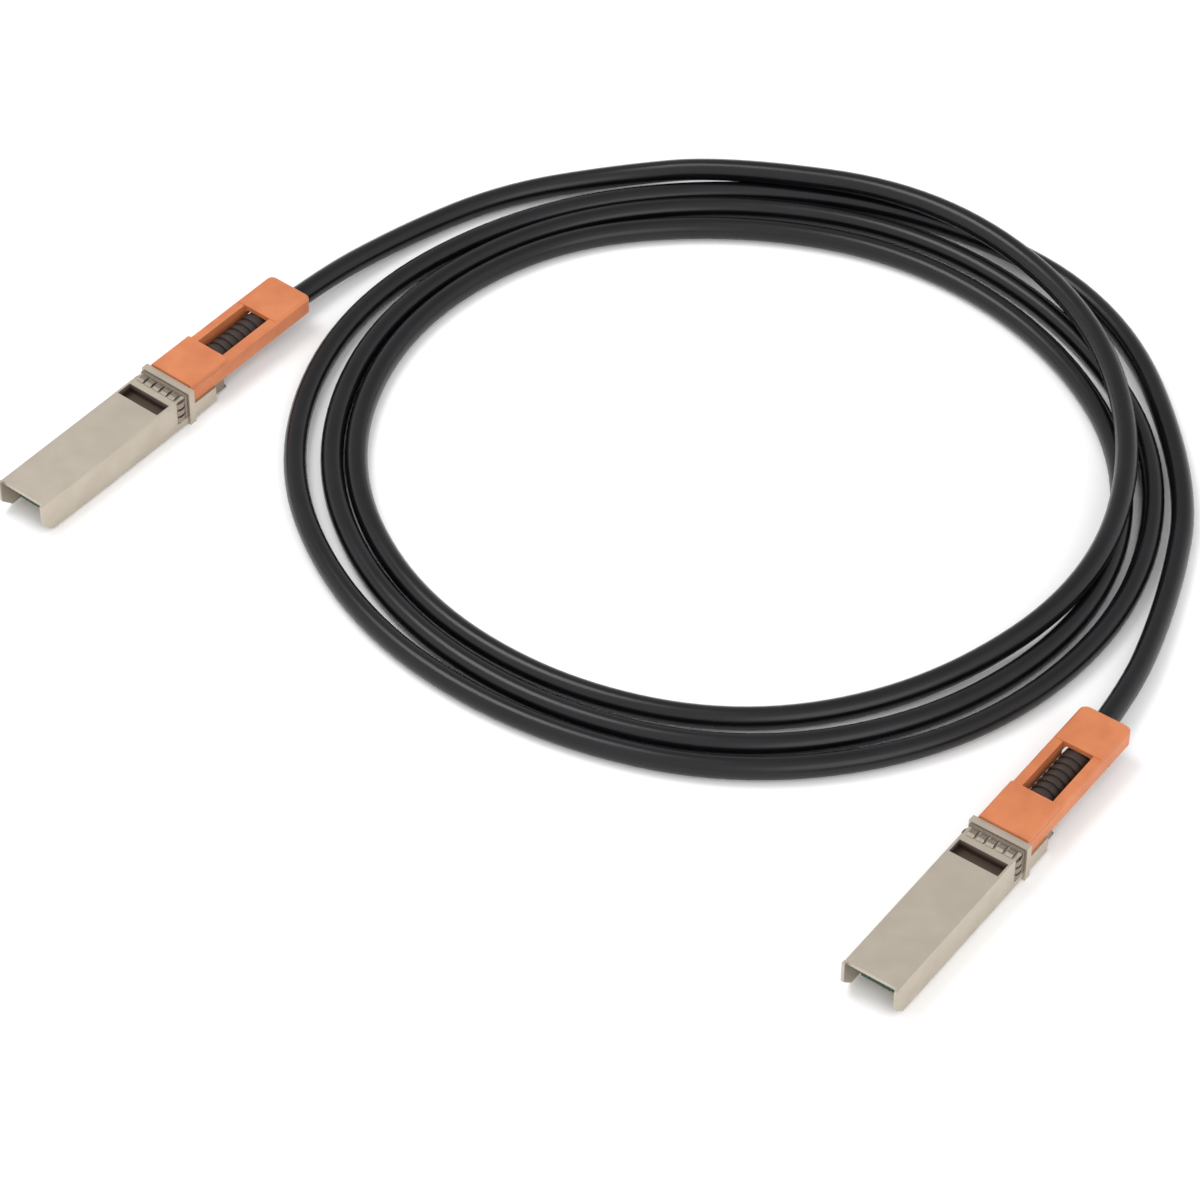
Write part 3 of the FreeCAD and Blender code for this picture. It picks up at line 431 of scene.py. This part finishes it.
def coil_points():
    """Steering points of the turns, twelve to a turn."""
    points = []
    for turn, radii in enumerate(TURNS):
        for hour, radius in enumerate(radii):
            rides_over = turn == 0 and hour < len(FIRST_TURN_LIFTS)
            lift = FIRST_TURN_LIFTS[hour] if rides_over else 0.0
            angle = math.radians(90 - DEGREES_PER_HOUR * hour)
            around = Vector((math.cos(angle), math.sin(angle), 0)) * (radius * STEER)
            points.append((Vector(COIL_CENTRE) + around + Vector((0, 0, LYING_HEIGHT + lift))) * MM)
    return points


def cable_points():
    """The whole line, from the ferrule of plug a to the ferrule of plug b."""
    line = [plug_point("a", JACKET_FROM_NOSE), plug_point("a", JACKET_FROM_NOSE + STRAIGHT_EXIT)]
    line += [Vector(point) * MM for point in TAIL_A_POINTS]
    line += coil_points()
    line += [Vector(point) * MM for point in TAIL_B_POINTS]
    line += [plug_point("b", JACKET_FROM_NOSE + STRAIGHT_EXIT), plug_point("b", JACKET_FROM_NOSE)]
    return line


class MakeCable(bpy.types.Operator):
    """Lay the round cable along its coil from plug to plug"""
    bl_idname = "cable.make_cable"
    bl_label = "Cable"

    def execute(self, context):
        settings = context.scene.cable_settings
        curve = bpy.data.curves.new("cable", "CURVE")
        curve.dimensions = "3D"
        curve.bevel_depth = settings.diameter / 2
        curve.bevel_resolution = 5
        curve.resolution_u = 12
        curve.use_fill_caps = True
        line = cable_points()
        spline = curve.splines.new("NURBS")
        spline.points.add(len(line) - 1)
        for point, place in zip(spline.points, line):
            point.co = (*place, 1.0)
        spline.order_u = 3
        spline.use_endpoint_u = True
        cable = bpy.data.objects.new("cable", curve)
        context.scene.collection.objects.link(cable)
        coat(cable_jacket(settings), cable)
        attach(cable, "cable")
        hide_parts("cable_tail_a", "cable_coil", "cable_tail_b")
        return {"FINISHED"}


# ------------------------------------------------------------------ the strain reliefs

def relief_outline():
    """The sleeve's outline with its moulded rings, thinning to the jacket under the grip."""
    outline = list(RELIEF_START)
    for ring in range(RELIEF_RINGS):
        start = RELIEF_START[-1][0] + ring * RING_PITCH
        outline += [(start + distance, radius, radius) for distance, radius in RELIEF_RING]
    return outline + RELIEF_END


def relief_mesh(name, letter):
    """The sleeve, turned about the plug's axis."""
    axis = -Vector(NOSE[letter]["axis"])
    up = Vector((0, 0, 1))
    side = up.cross(axis)
    turns = [2 * math.pi * step / RELIEF_SIDES for step in range(RELIEF_SIDES)]
    mesh = bmesh.new()
    rings = []
    for distance, height, width in relief_outline():
        middle = plug_point(letter, distance)
        rings.append([mesh.verts.new(middle + side * (width * MM * math.cos(turn))
                                     + up * (height * MM * math.sin(turn))) for turn in turns])
    for ring, following in zip(rings, rings[1:]):
        for step in range(RELIEF_SIDES):
            after = (step + 1) % RELIEF_SIDES
            mesh.faces.new((ring[step], ring[after], following[after], following[step]))
    bmesh.ops.recalc_face_normals(mesh, faces=mesh.faces)
    for face in mesh.faces:
        face.smooth = True
    data = bpy.data.meshes.new(name)
    mesh.to_mesh(data)
    mesh.free()
    data.set_sharp_from_angle(angle=RELIEF_CREASE)
    return data


class MakeReliefs(bpy.types.Operator):
    """Turn the ringed strain reliefs that carry the cable out of the plugs"""
    bl_idname = "cable.make_reliefs"
    bl_label = "Strain reliefs"

    def execute(self, context):
        rubber = relief_rubber(context.scene.cable_settings)
        for letter in PLUGS:
            name = f"strain_relief_{letter}_ringed"
            sleeve = bpy.data.objects.new(name, relief_mesh(name, letter))
            context.scene.collection.objects.link(sleeve)
            coat(rubber, sleeve)
            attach(sleeve, "cable")
            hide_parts(f"strain_relief_{letter}")
        return {"FINISHED"}


# ------------------------------------------------------------------ the plugs

class MakeShells(bpy.types.Operator):
    """Finish the die-cast shells, their pins and the stamped springs"""
    bl_idname = "cable.make_shells"
    bl_label = "Plug shells"

    def execute(self, context):
        for letter in PLUGS:
            coat(cast_shell(letter, context.scene.plug_settings),
                 frame["nodes"][f"housing_{letter}"], frame["nodes"][f"cover_{letter}"])
        coat(small_metal("turned_steel_pin", "#8C8881", "#B4AFA6", 0.35), *both("shell_pins"))
        coat(spring_strip(), *both("ground_collar"), *both("latch_slider"),
             *both("return_spring"))
        round_edges(both("housing") + both("cover"), SHELL_ROUND, SHELL_ROUND_STEPS)
        return {"FINISHED"}


class MakeCard(bpy.types.Operator):
    """Finish the card edge, its contacts and what is joined to it"""
    bl_idname = "cable.make_card"
    bl_label = "Card and conductors"

    def execute(self, context):
        coat(circuit_board(), *both("paddle_card"))
        coat(small_metal("gold_plating", "#C99A45", "#E2BC6A", 0.28), *both("card_contacts"))
        coat(small_resin("moulded_epoxy", "#141414", "#1E1E1F", 0.5), *both("memory_chip"))
        coat(small_resin("poured_potting", "#CFC9BB", "#E2DDD2", 0.45), *both("wire_potting"))
        coat(small_metal("shield_foil", "#B9BABB", "#D9DADB", 0.3), *both("twinax_pairs"))
        coat(small_metal("tinned_brass", "#A99A78", "#C6B994", 0.35), *both("crimp_ferrule"))
        return {"FINISHED"}


class MakePullTabs(bpy.types.Operator):
    """Finish the orange pull tabs and give their springs meshes of their own"""
    bl_idname = "cable.make_pull_tabs"
    bl_label = "Pull tabs"

    def execute(self, context):
        coat(tab_plastic(context.scene.plug_settings), *both("pull_tab"))
        for letter in PLUGS:
            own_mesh(frame["nodes"][f"return_spring_{letter}"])
        round_edges(both("pull_tab"), TAB_ROUND, TAB_ROUND_STEPS)
        return {"FINISHED"}


# ------------------------------------------------------------------ the stage

def look_at(thing, place, aim):
    """Put a light or a camera in its place and turn it to its aim."""
    thing.location = place
    thing.rotation_euler = (Vector(aim) - Vector(place)).to_track_quat("-Z", "Y").to_euler()


class MakeStage(bpy.types.Operator):
    """Set the pale floor, the soft lights and the camera"""
    bl_idname = "cable.make_stage"
    bl_label = "Studio"

    def execute(self, context):
        settings = context.scene.studio_settings
        link = context.scene.collection.objects.link
        mesh = bmesh.new()
        bmesh.ops.create_grid(mesh, x_segments=1, y_segments=1, size=FLOOR_HALF_SIZE)
        floor_mesh = bpy.data.meshes.new("floor")
        mesh.to_mesh(floor_mesh)
        mesh.free()
        floor = bpy.data.objects.new("floor", floor_mesh)
        link(floor)
        paper = new_material("matt_white_paper", settings.floor_colour,
                             {"Roughness": 0.9, "Specular IOR Level": 0.1})[0]
        coat(paper, floor)

        world = bpy.data.worlds.new("soft_studio")
        world.use_nodes = True
        context.scene.world = world
        tree = world.node_tree
        background = tree.nodes["Background"]
        background.inputs["Color"].default_value = linear("#FFFFFF")
        towards = add_node(tree, "ShaderNodeTexCoord").outputs["Generated"]
        facing = add_node(tree, "ShaderNodeVectorMath", {1: DIM_SIDE}, {0: towards},
                          operation="DOT_PRODUCT")
        add_node(tree, "ShaderNodeMapRange",
                 {"From Min": DIM_STARTS_AT, "From Max": DIM_FULL_AT,
                  "To Min": ROOM_LIGHT, "To Max": DIM_LIGHT},
                 {"Value": facing.outputs["Value"]},
                 {"Result": background.inputs["Strength"]})

        for name, (share, diameter, place) in LIGHTS.items():
            lamp = bpy.data.lights.new(name, "AREA")
            lamp.energy, lamp.size, lamp.shape = settings.key_power * share, diameter, "DISK"
            light = bpy.data.objects.new(name, lamp)
            link(light)
            look_at(light, place, LIGHT_AIM)

        lens = bpy.data.cameras.new("camera")
        lens.sensor_width, lens.sensor_fit = SENSOR_WIDTH, "HORIZONTAL"
        lens.lens = LENS
        lens.clip_start, lens.clip_end = CLIP_NEAR, CLIP_FAR
        camera = bpy.data.objects.new("camera", lens)
        link(camera)
        look_at(camera, Vector(CAMERA_PLACE) * MM, Vector(CAMERA_AIM) * MM)
        context.scene.camera = camera
        context.scene.view_settings.view_transform = "Standard"
        return {"FINISHED"}


# ------------------------------------------------------------------ the add-on

PIECES = [MakeStage, MakeCable, MakeReliefs, MakeShells, MakeCard, MakePullTabs]
SETTINGS = {"cable_settings": CableSettings, "plug_settings": PlugSettings,
            "studio_settings": StudioSettings}


class CablePanel(bpy.types.Panel):
    """Sizes, colours and a button for each group of pieces"""
    bl_idname = "VIEW3D_PT_direct_attach_cable"
    bl_label = "Direct attach cable"
    bl_space_type = "VIEW_3D"
    bl_region_type = "UI"
    bl_category = "Cable"

    def draw(self, context):
        for group, settings in SETTINGS.items():
            for name in settings.__annotations__:
                self.layout.prop(getattr(context.scene, group), name)
        for operator in PIECES:
            self.layout.operator(operator.bl_idname)


CLASSES = [*SETTINGS.values(), *PIECES, CablePanel]


def register():
    """Make the settings, operators and panel known."""
    for cls in CLASSES:
        bpy.utils.register_class(cls)
    for group, settings in SETTINGS.items():
        setattr(bpy.types.Scene, group, bpy.props.PointerProperty(type=settings))


def unregister():
    """Take them away again."""
    for group in SETTINGS:
        delattr(bpy.types.Scene, group)
    for cls in reversed(CLASSES):
        bpy.utils.unregister_class(cls)


def main():
    """Make the settings known, then make each group of pieces in turn."""
    register()
    for operator in PIECES:
        group, name = operator.bl_idname.split(".")
        getattr(getattr(bpy.ops, group), name)()


if __name__ == "__main__":
    main()
